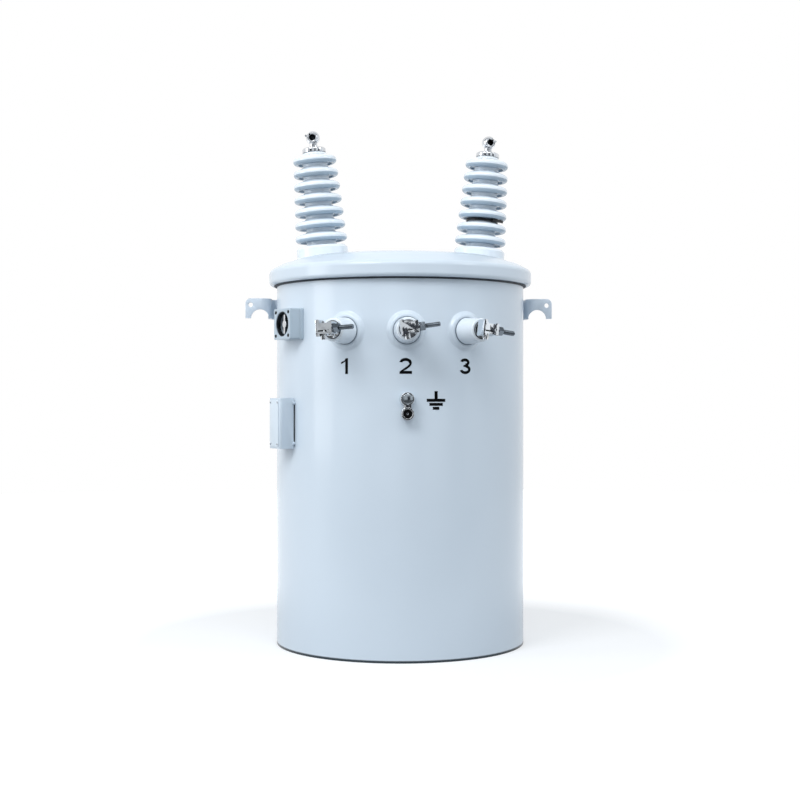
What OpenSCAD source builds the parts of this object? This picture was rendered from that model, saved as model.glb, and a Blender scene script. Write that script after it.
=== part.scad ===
// Pole mounted distribution transformer, single phase, with a banded domed cover.
// Origin at the centre of the tank's foot, +Z up. The low-voltage front faces -Y and
// the pole side faces +Y. Angles round the tank are read from the front, positive
// towards +X.

/* [Tank] */
// Outside diameter of the tank
tank_d = 420; // [380:5:480]
// Thickness of the tank's side sheet
tank_wall = 3; // [2:0.5:6]
// Height of the tank's side sheet, from the foot to its rim
tank_h = 612; // [560:1:700]
// Width of the flange turned out at the tank's rim
rim_flange_w = 7; // [4:0.5:9]
// Thickness of the rim flange
rim_flange_t = 4; // [3:0.5:5]
// How far the base plate sits above the foot
base_recess = 12; // [6:1:30]
// Thickness of the base plate
base_t = 4; // [3:0.5:8]

/* [Cover] */
// Radius of the cover's domed top
dome_r = 1569; // [1300:1:2200]
// Thickness of the cover sheet
cover_t = 3; // [2:0.5:4]
// Height of the dome's top above the gasket
cover_rise = 43.3; // [38:0.1:55]
// Slope of the cover's shoulder under the band
shoulder_slope = 28; // [20:1:40]
// Height above the gasket at which the shoulder's slope meets the skirt
shoulder_h = 18; // [14:0.5:22]
// Radius that blends the shoulder into the dome
shoulder_r = 60; // [30:1:80]
// Radius between the skirt and the shoulder
skirt_bend_r = 6; // [4:0.5:10]
// Thickness of the cover gasket
gasket_t = 4; // [2:0.5:6]
// Turn of the cover and its bushings against the tank
cover_turn = 6.4; // [0:0.1:15]

/* [Cover band] */
// Thickness of the clamping band
band_t = 2.5; // [2:0.5:4]
// Gap between the flange rims and the band's inside
band_gap = 3.5; // [1:0.5:5]
// Height at which the band's upright face meets its sloping top
band_face_h = 24; // [18:0.5:28]
// Radius between the band's upright face and its sloping top
band_top_r = 10; // [6:0.5:12]
// Width of the band's sloping top
band_top_w = 19.5; // [14:0.5:24]
// Radius of the band's lower edge
band_corner_r = 6; // [4:0.5:7]
// Gap between the band's two ends
band_split = 16; // [10:1:30]
// Angle round the tank where the band is drawn together
band_split_angle = 150; // [120:1:165]
// Diameter of the band's draw bolt
band_bolt_d = 10; // [8:1:12]

/* [High-voltage bushings] */
// Distance of each bushing's foot in from the tank's side
hv_inset = 75.2; // [60:0.1:100]
// Shift of the pair of bushings to the right
hv_shift = 2.2; // [0:0.1:5]
// Diameter of the collar under each bushing
hv_collar_d = 87; // [80:1:100]
// Height of the collar
hv_collar_h = 18.5; // [12:0.5:24]
// Number of sheds
shed_count = 7; // [3:1:9]
// Distance from one shed to the next
shed_pitch = 21.9; // [18:0.1:26]
// Height of the lowest shed above the cover
shed_first = 30.2; // [26:0.1:38]
// Diameter of the lowest shed
shed_d_low = 87.5; // [76:0.5:96]
// Diameter of the top shed
shed_d_top = 73.5; // [66:0.5:84]
// Diameter of the bushing's core at its foot
core_d_low = 51.5; // [44:0.5:56]
// Diameter of the bushing's core at its top
core_d_top = 42; // [38:0.5:44]
// Diameter of the metal cap
hv_cap_d = 40; // [34:1:46]
// Height of the metal cap
hv_cap_h = 8; // [5:1:12]
// Height of the bushing's shoulder above its top shed
shoulder_rise = 16; // [12:0.5:22]
// Diameter of the terminal stud
hv_stud_d = 13; // [10:0.5:16]
// Diameter of the terminal's round eye
hv_eye_d = 23.5; // [22:0.5:30]
// Diameter of the conductor hole in the eye
hv_eye_bore_d = 11; // [9:0.5:12]
// Diameter of the eye's clamp bolt
hv_clamp_d = 4; // [3:0.5:5]

/* [Low-voltage bushings] */
// Distance of the low-voltage bushings below the tank's rim
lv_drop = 91; // [70:1:130]
// Angle of the middle low-voltage bushing round the tank
lv_turn = 0.5; // [-5:0.1:5]
// Angle between neighbouring low-voltage bushings
lv_step = 26.8; // [22:0.1:30]
// Diameter of the raised seat on the tank
lv_boss_d = 58; // [54:1:70]
// Height of the raised seat
lv_boss_h = 4; // [3:0.5:7]
// Diameter of the bushing's body at its seat
lv_body_d = 42.5; // [38:0.5:48]
// Diameter of the bushing's body at its outer end
lv_body_end_d = 36.5; // [32:0.5:42]
// Length of the bushing's body from the tank
lv_body_l = 47; // [40:1:60]
// Diameter of the bushing's neck that passes through the tank
lv_neck_d = 30; // [26:0.5:34]
// Diameter of the terminal washer
lv_washer_d = 27; // [24:1:34]
// Thickness of the terminal washer
lv_washer_t = 3; // [2:0.5:4]
// Diameter of the terminal stud
lv_stud_d = 12; // [10:0.5:14]
// Distance of the clamp's middle from the tank
lv_clamp_out = 69.5; // [66:0.5:84]
// Depth of the clamp body along the bushing
lv_clamp_deep = 18; // [16:1:24]
// Diameter of the clamp's threaded rod
lv_rod_d = 7.6; // [6:0.1:9]
// Reach of the threaded rod from the bushing's axis
lv_rod_reach = 47.5; // [42:0.5:60]

/* [Lifting lugs] */
// Distance of a lug's outer edge from the tank's side
lug_out = 56.5; // [50:0.5:66]
// Thickness of the lug plate
lug_t = 6; // [4:0.5:8]
// Height of the lug plate
lug_h = 34.5; // [32:0.5:44]
// Distance of the lug's upper edge below the tank's rim
lug_drop = 24; // [18:0.5:60]
// Distance of the lug's front face behind the tank's centre
lug_set_back = 39; // [30:1:50]
// Depth of the lug's bent root from front to back
lug_root_deep = 52; // [44:1:60]
// Gap between the tank's side and the bent root
lug_stand_off = 12; // [8:0.5:16]
// Inner radius of the lug's bends
lug_bend_r = 13; // [8:1:15]
// Radius of the sling notch
lug_notch_r = 15.5; // [12:0.5:16]
// Width of the lug's outer prong
lug_prong_w = 9.5; // [8:0.5:12]
// Diameter of the lug's small hole
lug_hole_d = 8; // [6:0.5:9]

/* [Ground connector] */
// Distance of the ground bolt below the tank's rim
ground_below = 198.5; // [170:0.5:240]
// Angle of the ground connector round the tank
ground_angle = 0.7; // [-5:0.1:5]
// Distance from the ground bolt to the conductor socket
ground_drop = 23; // [21:0.5:28]
// Diameter of the conductor socket
socket_d = 20; // [18:0.5:24]
// Diameter of the conductor bore
socket_bore_d = 14.5; // [10:0.5:16]
// Width of the ground bolt's head across its flats
ground_hex = 15.5; // [13:0.5:18]

/* [Tap changer] */
// Width of the tap changer housing
tap_w = 52; // [46:1:60]
// Height of the tap changer housing
tap_h = 50; // [46:1:60]
// Distance of the housing's face from the tank
tap_out = 21.6; // [18:0.2:30]
// Distance of the housing's middle below the tank's rim
tap_drop = 77; // [60:1:110]
// Angle of the housing round the tank
tap_angle = -58; // [-65:0.5:-50]
// Diameter of the round well in the housing
tap_well_d = 40.5; // [34:0.5:42]
// Depth of the well
tap_well_deep = 14; // [10:0.5:16]
// Length of the tap changer's handle
tap_handle_l = 31; // [24:1:36]

/* [Nameplate] */
// Width of the nameplate bracket
plate_w = 42; // [36:1:60]
// Height of the nameplate bracket
plate_h = 82; // [60:1:100]
// Distance of the bracket's face from the tank
plate_out = 26; // [20:0.5:32]
// Distance of the bracket's middle below the tank's rim
plate_drop = 238; // [200:1:300]
// Angle of the bracket round the tank
plate_angle = -62.5; // [-75:0.5:-55]
// Thickness of the bracket's sheet
plate_sheet_t = 2; // [1.5:0.5:3]
// Thickness of the nameplate
nameplate_t = 1; // [0.5:0.5:2]

/* [Hanger brackets] */
// Height of the lower bracket's middle above the foot
hanger_z = 160; // [120:1:200]
// Distance between the two brackets' bolt slots
hanger_pitch = 286; // [250:1:300]
// Width of a bracket's mounting face
hanger_w = 90; // [70:1:120]
// Height of a bracket
hanger_h = 80; // [70:1:110]
// Distance of the mounting face from the tank
hanger_out = 50; // [40:1:70]
// Thickness of the bracket plate
hanger_t = 6; // [5:0.5:8]
// Width of the bolt slot
hanger_slot_w = 17.5; // [14:0.5:22]
// Length of the bolt slot between its end centres
hanger_slot_l = 24; // [12:1:30]

/* [Hidden] */
$fn = 96;

// Sides of the drawn circles on the tank
tank_fn = 360;
// Running allowance of a cut past the face it goes through
cut = 1;
// Clearance of a stud, bolt or neck in its hole
fit = 0.3;
// Clearance under a seat that rests on a curved sheet
seat_gap = 0.1;

// Tank and cover heights
tank_r = tank_d / 2;
rim_r = tank_r + rim_flange_w;
gasket_z = tank_h;
cover_z = gasket_z + gasket_t;
dome_top = cover_z + cover_rise;
dome_centre_z = dome_top - dome_r;
hv_offset = tank_r - hv_inset;

// Heights of the fittings, all kept from the rim down
lv_z = tank_h - lv_drop;
lug_z = tank_h - lug_drop - lug_h;
ground_z = tank_h - ground_below;
tap_z = tank_h - tap_drop;
plate_z = tank_h - plate_drop;

// The cover's shoulder: a straight slope from the skirt, blended into the dome
skirt_in = 3;
skirt_r = tank_r - skirt_in;
slope_n = [sin(shoulder_slope), cos(shoulder_slope)];
slope_t = [-cos(shoulder_slope), sin(shoulder_slope)];
blend_a = slope_n[0] * skirt_r + slope_n[1] * (cover_z + shoulder_h - dome_centre_z) - shoulder_r;
blend_b = sqrt(pow(dome_r - shoulder_r, 2) - pow(blend_a, 2));
blend_c = [blend_a * slope_n[0] + blend_b * slope_t[0],
           dome_centre_z + blend_a * slope_n[1] + blend_b * slope_t[1]];
blend_end = 90 - asin(blend_c[0] / (dome_r - shoulder_r));
bend_reach = tan((90 - shoulder_slope) / 2);

// The band's section, from its lower lip to its top lip
band_r = rim_r + band_gap + band_t;
band_lip_z = tank_h - rim_flange_t - band_t - fit;
band_lip_r = tank_r + 1.2;

// Points of an arc, from angle a0 to angle a1, about the point c
function arc(c, r, a0, a1, n) =
    [for (i = [0:n]) let (a = a0 + (a1 - a0) * i / n) [c[0] + r * cos(a), c[1] + r * sin(a)]];

// Paint and metals
tank_paint = [0.80, 0.86, 0.90];
band_paint = [0.78, 0.85, 0.90];
porcelain = [0.93, 0.96, 0.99];
tinned = [0.80, 0.81, 0.82];
steel = [0.66, 0.69, 0.71];
dark = [0.14, 0.16, 0.18];

// Places children at angle a round the tank and height z, with the wall behind them:
// outwards is -Y, sideways is X and up is Z, measured from the wall's surface
module on_wall(a, z) {
    rotate([0, 0, a]) translate([0, -tank_r, z]) children();
}

// Turns a shape made along +Z so that it points outwards from the wall
module outwards() {
    rotate([90, 0, 0]) children();
}

// The space taken by the tank, used to seat fittings on its round side
module tank_space() {
    translate([0, 0, -cut]) cylinder(r = tank_r, h = tank_h + 2 * cut, $fn = tank_fn);
}

// Places children on the cover: side is -1 for the left bushing and 1 for the right,
// and the children's +Z is the bushing's axis, which is square to the dome
module on_cover(side) {
    lean = asin((side * hv_offset + hv_shift) / dome_r);
    rotate([0, 0, cover_turn])
        translate([0, 0, dome_centre_z])
            rotate([0, lean, 0])
                translate([0, 0, dome_r])
                    children();
}

module hex(af, h) {
    cylinder(r = af / sqrt(3), h = h, $fn = 6);
}

// Tank

lv_hole_d = lv_neck_d + 2 * fit;
rim_seam = 0.1;

module tank_shell() {
    color(tank_paint)
        difference() {
            cylinder(r = tank_r, h = tank_h, $fn = tank_fn);
            translate([0, 0, -cut])
                cylinder(r = tank_r - tank_wall, h = tank_h + 2 * cut, $fn = tank_fn);
            for (i = [1:3])
                at_lv(i) outwards()
                    translate([0, 0, -tank_wall * 5])
                        cylinder(d = lv_hole_d, h = tank_wall * 8);
        }
}

// Flat ring welded round the top of the tank's side
module tank_rim() {
    color(tank_paint)
        translate([0, 0, tank_h - rim_flange_t])
            difference() {
                cylinder(r = rim_r, h = rim_flange_t, $fn = tank_fn);
                translate([0, 0, -cut])
                    cylinder(r = tank_r + rim_seam, h = rim_flange_t + 2 * cut, $fn = tank_fn);
            }
}

module tank_base() {
    color(tank_paint)
        translate([0, 0, base_recess])
            cylinder(r = tank_r - tank_wall, h = base_t, $fn = tank_fn);
}

// Cover

module cover_section() {
    t = cover_t;
    dome_c = [0, dome_centre_z];
    bend_c = [skirt_r - skirt_bend_r, cover_z + shoulder_h - skirt_bend_r * bend_reach];
    slope_a = 90 - shoulder_slope;
    polygon(concat(
        [[rim_r, cover_z], [rim_r, cover_z + t], [skirt_r, cover_z + t]],
        arc(bend_c, skirt_bend_r, 0, slope_a, 6),
        arc(blend_c, shoulder_r, slope_a, blend_end, 8),
        arc(dome_c, dome_r, blend_end, 90, 14),
        arc(dome_c, dome_r - t, 90, blend_end, 14),
        arc(blend_c, shoulder_r - t, blend_end, slope_a, 8),
        arc(bend_c, skirt_bend_r - t, slope_a, 0, 6),
        [[skirt_r - t, cover_z]]
    ));
}

module cover() {
    color(tank_paint)
        difference() {
            rotate([0, 0, cover_turn]) rotate_extrude($fn = tank_fn) cover_section();
            for (side = [-1, 1])
                on_cover(side)
                    translate([0, 0, -cover_t * 3])
                        cylinder(d = core_d_low + 2 * fit, h = cover_t * 6);
        }
}

module cover_gasket() {
    color(dark)
        translate([0, 0, gasket_z])
            difference() {
                cylinder(r = rim_r, h = gasket_t, $fn = tank_fn);
                translate([0, 0, -cut])
                    cylinder(r = tank_r - tank_wall, h = gasket_t + 2 * cut, $fn = tank_fn);
            }
}

// The band is a hooked section that holds the cover's flange down on the tank's flange
module band_section() {
    t = band_t;
    low_c = [band_r - band_corner_r, band_lip_z + band_corner_r];
    top_c = [band_r - band_top_r, band_lip_z + band_face_h - band_top_r * bend_reach];
    slope_a = 90 - shoulder_slope;
    rise = band_top_w * tan(shoulder_slope);
    lip = [band_r - band_top_w, band_lip_z + band_face_h + rise];
    polygon(concat(
        [[band_lip_r, band_lip_z]],
        arc(low_c, band_corner_r, -90, 0, 8),
        arc(top_c, band_top_r, 0, slope_a, 8),
        [lip, lip - t * slope_n],
        arc(top_c, band_top_r - t, slope_a, 0, 8),
        arc(low_c, band_corner_r - t, 0, -90, 8),
        [[band_lip_r, band_lip_z + t]]
    ));
}

band_lug_t = 5;
band_lug_out = 20;
band_lug_h = 21;

module band_lug(side) {
    translate([side * (band_split / 2 + band_lug_t / 2), -band_r - band_lug_out / 2 + band_t / 2,
               band_lip_z + band_lug_h / 2])
        cube([band_lug_t, band_lug_out + band_t, band_lug_h], center = true);
}

band_bolt_out = band_r + band_lug_out / 2;
band_bolt_z = band_lip_z + band_lug_h / 2;

module cover_band() {
    color(band_paint)
        difference() {
            union() {
                rotate_extrude($fn = tank_fn) band_section();
                rotate([0, 0, band_split_angle])
                    for (side = [-1, 1])
                        band_lug(side);
            }
            rotate([0, 0, band_split_angle]) {
                translate([-band_split / 2, -band_r - band_lug_out - cut, band_lip_z - cut])
                    cube([band_split, 2 * band_lug_out + band_top_w, 2 * band_face_h]);
                translate([0, -band_bolt_out, band_bolt_z])
                    rotate([0, 90, 0])
                        cylinder(d = band_bolt_d + 2 * fit, h = 2 * band_split, center = true);
            }
        }
}

module cover_band_bolt() {
    grip = band_split / 2 + band_lug_t;
    nut_h = band_bolt_d * 0.8;
    color(steel)
        rotate([0, 0, band_split_angle])
            translate([0, -band_bolt_out, band_bolt_z])
                rotate([0, 90, 0]) {
                    translate([0, 0, -grip - nut_h]) hex(band_bolt_d * 1.6, nut_h);
                    translate([0, 0, -grip]) cylinder(d = band_bolt_d, h = 2 * grip + nut_h * 2);
                    translate([0, 0, grip]) hex(band_bolt_d * 1.6, nut_h);
                }
}

// High-voltage bushings

function core_r(h) =
    let (top = shed_first + shed_pitch * (shed_count - 1))
    core_d_low / 2 + (core_d_top - core_d_low) / 2 * min(1, max(0, h / top));
function shed_r(i) =
    shed_d_low / 2 + (shed_d_top - shed_d_low) / 2 * i / max(1, shed_count - 1);

rim_low_r = 4;
rim_high_r = 5.5;
rim_face = 3;
porcelain_top = shed_first + shed_pitch * (shed_count - 1) + shoulder_rise;
neck_below = 30;
foot_bevel = 3;

// One shed, from below: a hollowed underside, a rounded rim, a thick edge and a sloping top
shed_groove = 2.4;
shed_slope_w = 3;
shed_slope_h = 11;
shed_root_h = 13.5;
function shed_points(i) =
    let (h = shed_first + shed_pitch * i, r = shed_r(i), k = core_r(h), w = r - k)
    concat(
        [[k, h - rim_low_r], [k + w * 0.1, h - rim_low_r * 0.45], [k + w * 0.45, h - rim_low_r * 0.3],
         [k + w * 0.6, h - shed_groove]],
        arc([r - rim_low_r, h], rim_low_r, -115, 0, 8),
        arc([r - rim_high_r, h + rim_face], rim_high_r, 0, 64, 8),
        [[k + shed_slope_w, h + shed_slope_h], [core_r(h + shed_root_h), h + shed_root_h]]
    );

module bushing_section() {
    seat = core_d_top / 2 - 1.5;
    sheds = [for (i = [0:shed_count - 1]) each shed_points(i)];
    polygon(concat(
        [[0, -neck_below], [core_d_low / 2 - foot_bevel, -neck_below],
         [core_d_low / 2, -neck_below + foot_bevel]],
        sheds,
        [[seat, porcelain_top - 1.5], [seat - 1.5, porcelain_top], [0, porcelain_top]]
    ));
}

// Half section of the collar: its foot follows the dome
module collar_section() {
    chamfer = 4;
    inside = core_d_low / 2 + fit;
    outside = hv_collar_d / 2;
    foot = [0, -dome_r];
    polygon(concat(
        arc(foot, dome_r + seat_gap, acos(inside / dome_r), acos(outside / dome_r), 8),
        [[outside, hv_collar_h - chamfer], [outside - 0.8 * chamfer, hv_collar_h],
         [inside, hv_collar_h]]
    ));
}

module hv_collar(side) {
    color(porcelain) on_cover(side) rotate_extrude() collar_section();
}

module hv_bushing(side) {
    color(porcelain) on_cover(side) difference() {
        rotate_extrude($fn = 96) bushing_section();
        translate([0, 0, porcelain_top - hv_stud_deep])
            cylinder(d = hv_stud_d + 2 * fit, h = hv_stud_deep + cut);
    }
}

hv_stud_deep = 20;
hv_neck_l = 5.5;
eye_h = porcelain_top + hv_cap_h + hv_eye_d / 2 + hv_neck_l;

module hv_cap(side) {
    bevel = 2;
    color(tinned)
        on_cover(side)
            translate([0, 0, porcelain_top])
                difference() {
                    union() {
                        cylinder(d = hv_cap_d, h = hv_cap_h - bevel);
                        translate([0, 0, hv_cap_h - bevel])
                            cylinder(d1 = hv_cap_d, d2 = hv_cap_d - 2 * bevel, h = bevel);
                    }
                    translate([0, 0, -cut])
                        cylinder(d = hv_stud_d + 2 * fit, h = hv_cap_h + 2 * cut);
                }
}

// The eye is turned so that its bore faces the front, and its slit is drawn shut by a bolt
eye_turn = [-14, 10];
clamp_tilt = [-38, 40];
clamp_h = hv_eye_d * 0.375;
clamp_grip = 4.6;
eye_deep = 0.74;
eye_slit_w = 2.2;

module at_eye(side) {
    k = side < 0 ? 0 : 1;
    on_cover(side)
        translate([0, 0, eye_h])
            rotate([0, 0, eye_turn[k]])
                rotate([0, clamp_tilt[k], 0])
                    children();
}

// +Z is the bolt's axis and points to its head, at the outer side of the eye
module at_clamp_bolt(side) {
    at_eye(side) translate([0, 0, clamp_h]) rotate([0, side * 90, 0]) children();
}

module hv_terminal(side) {
    flare_w = 1.4;
    flare_h = 1.8;
    deep = hv_eye_d * eye_deep;
    color(tinned)
        difference() {
            union() {
                on_cover(side) translate([0, 0, porcelain_top - hv_stud_deep])
                    cylinder(d = hv_stud_d, h = eye_h - porcelain_top + hv_stud_deep);
                on_cover(side) translate([0, 0, porcelain_top + hv_cap_h])
                    cylinder(d1 = hv_stud_d + 2 * flare_w, d2 = hv_stud_d, h = flare_h);
                at_eye(side) intersection() {
                    sphere(d = hv_eye_d);
                    cube([hv_eye_d, deep, hv_eye_d], center = true);
                }
            }
            at_eye(side) {
                rotate([90, 0, 0])
                    cylinder(d = hv_eye_bore_d, h = hv_eye_d * 2, center = true);
                translate([-eye_slit_w / 2, -hv_eye_d, 0])
                    cube([eye_slit_w, 2 * hv_eye_d, hv_eye_d]);
            }
            at_clamp_bolt(side) {
                cylinder(d = hv_clamp_d + 2 * fit, h = hv_eye_d * 2, center = true);
                translate([0, 0, clamp_grip + hv_eye_d / 2])
                    cube([hv_clamp_d * 2.4, hv_clamp_d * 2.4, hv_eye_d], center = true);
            }
        }
}

module hv_clamp_bolt(side) {
    head_h = 3;
    reach = 6.5;
    color(steel)
        at_clamp_bolt(side) {
            translate([0, 0, -reach]) cylinder(d = hv_clamp_d, h = reach + clamp_grip);
            translate([0, 0, clamp_grip]) hex(hv_clamp_d * 1.8, head_h);
        }
}

// Cable tie round the right bushing, under the third shed from below
tie_shed = 2;
tie_below = 8.6;
tie_gap = 0.2;
tie_t = 1.6;
tie_h = 4.4;
tie_head = [9, 7, 6];
tie_tail_l = 20;
tie_turn = 34;

module cable_tie() {
    h = shed_first + shed_pitch * tie_shed - tie_below;
    r = core_d_low / 2 + tie_gap;
    color(dark)
        on_cover(1)
            translate([0, 0, h]) {
                difference() {
                    cylinder(r = r + tie_t, h = tie_h);
                    translate([0, 0, -cut]) cylinder(r = r, h = tie_h + 2 * cut);
                }
                rotate([0, 0, -90 + tie_turn]) {
                    translate([r + tie_gap, -tie_head[0] / 2, (tie_h - tie_head[2]) / 2])
                        cube([tie_head[1], tie_head[0], tie_head[2]]);
                    translate([r + tie_head[1] / 2, 0, 0])
                        cube([tie_t, tie_tail_l, tie_h]);
                }
            }
}

// Low-voltage bushings

module at_lv(i) {
    on_wall(lv_turn + (i - 2) * lv_step, lv_z) children();
}

// A raised ring with a rounded edge, its back cut to the tank's round side
module lv_boss(i) {
    edge_h = 0.6;
    round_r = 3;
    under = 8;
    r = lv_boss_d / 2;
    color(tank_paint)
        difference() {
            at_lv(i) outwards()
                rotate_extrude() polygon(concat(
                    [[0, -under], [r, -under], [r, edge_h]],
                    arc([r - round_r, lv_boss_h - round_r], round_r, 0, 90, 6),
                    [[0, lv_boss_h]]
                ));
            tank_space();
            at_lv(i) outwards() translate([0, 0, -2 * under])
                cylinder(d = lv_hole_d, h = lv_boss_h + 3 * under);
        }
}

module lv_bushing(i) {
    edge = 2;
    bevel = 1;
    taper = atan((lv_body_d - lv_body_end_d) / 2 / (lv_body_l - lv_boss_h));
    inside = lv_body_l * 0.5;
    stud_deep = lv_body_l * 0.65;
    color(porcelain)
        at_lv(i) outwards()
            difference() {
                rotate_extrude() polygon(concat(
                    [[0, -inside], [lv_neck_d / 2, -inside], [lv_neck_d / 2, lv_boss_h],
                     [lv_body_d / 2 - bevel, lv_boss_h], [lv_body_d / 2, lv_boss_h + bevel]],
                    arc([lv_body_end_d / 2 - edge, lv_body_l - edge], edge, taper, 90, 6),
                    [[0, lv_body_l]]
                ));
                translate([0, 0, lv_body_l - stud_deep])
                    cylinder(d = lv_stud_d + 2 * fit, h = stud_deep + cut);
            }
}

// Each clamp is turned a little about its bushing's axis, and screwed in by its own amount
lv_roll = [3.5, 8, -7];
lv_screwed_in = [0, 0, 5.5];
crown_u = -13.2;
crown_w = 6.4;
crown_top = 14.4;
crown_low = -11.4;
jaw_top = 8.6;
jaw_low = -7.6;
block_u = 8.2;
block_end = 14.6;
block_top = 10.4;
block_low = -8.4;
gap_u = -9.6;
gap_w = 14;
gap_h = 2.2;
gap_mid = -3;
rod_forward = 2;

// The clamp body seen from the front: a tall crown at the left, two jaws and an end block
module clamp_outline() {
    difference() {
        union() {
            translate([crown_u + crown_w / 2, (crown_top + crown_low) / 2])
                rounded_plate(crown_w, crown_top - crown_low, 2);
            translate([crown_u + crown_w - cut, jaw_low])
                square([block_u - crown_u - crown_w + 2 * cut, jaw_top - jaw_low]);
            translate([(block_u + block_end) / 2, (block_top + block_low) / 2])
                rounded_plate(block_end - block_u, block_top - block_low, 1.6);
        }
        translate([gap_u, gap_mid - gap_h / 2]) square([gap_w, gap_h]);
    }
}

module at_clamp(i) {
    at_lv(i) rotate([0, -lv_roll[i - 1], 0]) children();
}

function clamp_out(i) = lv_clamp_out - lv_screwed_in[i - 1];

lv_nut_af = 19;
lv_nut_t = 5;
set_screw_u = -4;
set_screw_d = 8.5;
set_screw_low = -16.5;
stud_in_clamp = 4;

module lv_terminal(i) {
    back = clamp_out(i) - lv_clamp_deep / 2;
    sunk = lv_body_l * 0.6;
    rod_out = clamp_out(i) + rod_forward;
    color(tinned)
        difference() {
            union() {
                at_clamp(i) outwards() {
                    translate([0, 0, lv_body_l]) cylinder(d = lv_washer_d, h = lv_washer_t);
                    translate([0, 0, lv_body_l + lv_washer_t]) hex(lv_nut_af, lv_nut_t);
                    translate([0, 0, lv_body_l - sunk])
                        cylinder(d = lv_stud_d, h = back - lv_body_l + sunk + stud_in_clamp);
                }
                at_clamp(i) translate([0, -back, 0]) outwards()
                    linear_extrude(height = lv_clamp_deep) clamp_outline();
                at_clamp(i) translate([set_screw_u, -rod_out, set_screw_low])
                    cylinder(d = set_screw_d, h = jaw_low - set_screw_low + cut);
            }
            at_clamp(i) translate([block_u - cut, -rod_out, 0]) rotate([0, 90, 0])
                cylinder(d = lv_rod_d + 2 * fit, h = block_end - block_u + 2 * cut);
        }
}

module lv_clamp_rod(i) {
    washer_d = lv_rod_d * 1.95;
    washer_t = 1.4;
    nut_af = lv_rod_d * 1.7;
    nut_t = 8.5;
    tip = 1;
    start = block_u + fit;
    color(steel)
        at_clamp(i) translate([0, -clamp_out(i) - rod_forward, 0]) rotate([0, 90, 0]) {
            translate([0, 0, start]) cylinder(d = lv_rod_d, h = lv_rod_reach - start - tip);
            translate([0, 0, lv_rod_reach - tip])
                cylinder(d1 = lv_rod_d, d2 = lv_rod_d - 2 * tip, h = tip);
            translate([0, 0, block_end]) cylinder(d = washer_d, h = washer_t);
            translate([0, 0, block_end + washer_t]) hex(nut_af, nut_t);
        }
}

// Lifting lugs: a hook plate that faces the front, bent back and in to the tank

lug_in = tank_r + lug_stand_off;
lug_reach = tank_r + lug_out;

// Plan of the right lug: hook plate, first bend, side leg, second bend and root leg
module lug_plan() {
    y0 = lug_set_back;
    y1 = lug_set_back + lug_root_deep;
    bend = lug_bend_r;
    t = lug_t;
    translate([lug_in + bend + t, y0]) square([lug_reach - lug_in - bend - t, t]);
    translate([lug_in + bend + t, y0 + bend + t]) quarter_ring(bend, t, 180);
    translate([lug_in, y0 + bend + t]) square([t, y1 - y0 - 2 * bend - 2 * t]);
    translate([lug_in - bend, y1 - bend - t]) quarter_ring(bend, t, 0);
    difference() {
        translate([0, y1 - t]) square([lug_in - bend, t]);
        circle(r = tank_r, $fn = tank_fn);
    }
}

// A quarter of a flat ring from angle a to a + 90, with inner radius r and width t
module quarter_ring(r, t, a) {
    rotate(a)
        difference() {
            circle(r = r + t);
            circle(r = r);
            translate([-2 * (r + t), -cut]) square([2 * (r + t), 2 * (r + t) + cut]);
            translate([-2 * (r + t), -2 * (r + t)]) square([4 * (r + t), 2 * (r + t)]);
        }
}

lug_hole_in = 8.8;
lug_hole_low = 11.2;
notch_x = lug_reach - lug_prong_w - lug_notch_r;
lug_hole_x = lug_reach - lug_hole_in;
lug_hole_z = lug_z + lug_h - lug_hole_low;

module lifting_lug(side) {
    corner = 9;
    color(tank_paint)
        mirror([side < 0 ? 1 : 0, 0, 0])
            difference() {
                translate([0, 0, lug_z]) linear_extrude(height = lug_h) lug_plan();
                translate([notch_x, lug_set_back - cut, lug_z]) rotate([-90, 0, 0])
                    cylinder(r = lug_notch_r, h = lug_t + lug_bend_r);
                translate([lug_hole_x, lug_set_back - cut, lug_hole_z]) rotate([-90, 0, 0])
                    cylinder(d = lug_hole_d, h = lug_t + 2 * cut);
                translate([lug_reach - corner, lug_set_back - cut, lug_z + lug_h - corner])
                    difference() {
                        cube([corner + cut, lug_t + 2 * cut, corner + cut]);
                        translate([0, -cut, 0]) rotate([-90, 0, 0])
                            cylinder(r = corner, h = lug_t + 4 * cut);
                    }
            }
}

// Ground connector

pad_d = 24;
pad_out = 5;
pad_under = 3;
connector_t = 6;
connector_in = 1.5;
socket_out = 16;
socket_gap = 0.5;
ground_bolt_d = 10;
ground_bolt_in = 0.8;

module at_ground() {
    on_wall(ground_angle, ground_z) children();
}

module ground_pad() {
    color(tank_paint)
        difference() {
            at_ground() outwards() difference() {
                translate([0, 0, -pad_under]) cylinder(d = pad_d, h = pad_out + pad_under);
                translate([0, 0, ground_bolt_in - fit])
                    cylinder(d = ground_bolt_d + 2 * fit, h = pad_out);
            }
            tank_space();
        }
}

module ground_connector() {
    neck_w = 12;
    color(tinned)
        at_ground() outwards() difference() {
            union() {
                translate([0, 0, pad_out]) cylinder(d = pad_d - 2 * connector_in, h = connector_t);
                translate([-neck_w / 2, -ground_drop, pad_out])
                    cube([neck_w, ground_drop, connector_t]);
                translate([0, -ground_drop, socket_gap]) cylinder(d = socket_d, h = socket_out);
            }
            translate([0, 0, pad_out - cut])
                cylinder(d = ground_bolt_d + 2 * fit, h = connector_t + 2 * cut);
            translate([0, -ground_drop, -cut])
                cylinder(d = socket_bore_d, h = socket_out + 4 * cut);
        }
}

module ground_bolt() {
    washer_t = 1.6;
    washer_d = ground_hex + 4;
    head_t = 7;
    seat = pad_out + connector_t;
    color(steel)
        at_ground() outwards() {
            translate([0, 0, ground_bolt_in]) cylinder(d = ground_bolt_d, h = seat);
            translate([0, 0, seat]) cylinder(d = washer_d, h = washer_t);
            translate([0, 0, seat + washer_t]) hex(ground_hex, head_t);
        }
}

// Tap changer housing with a round well, a dial and a handle

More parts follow.
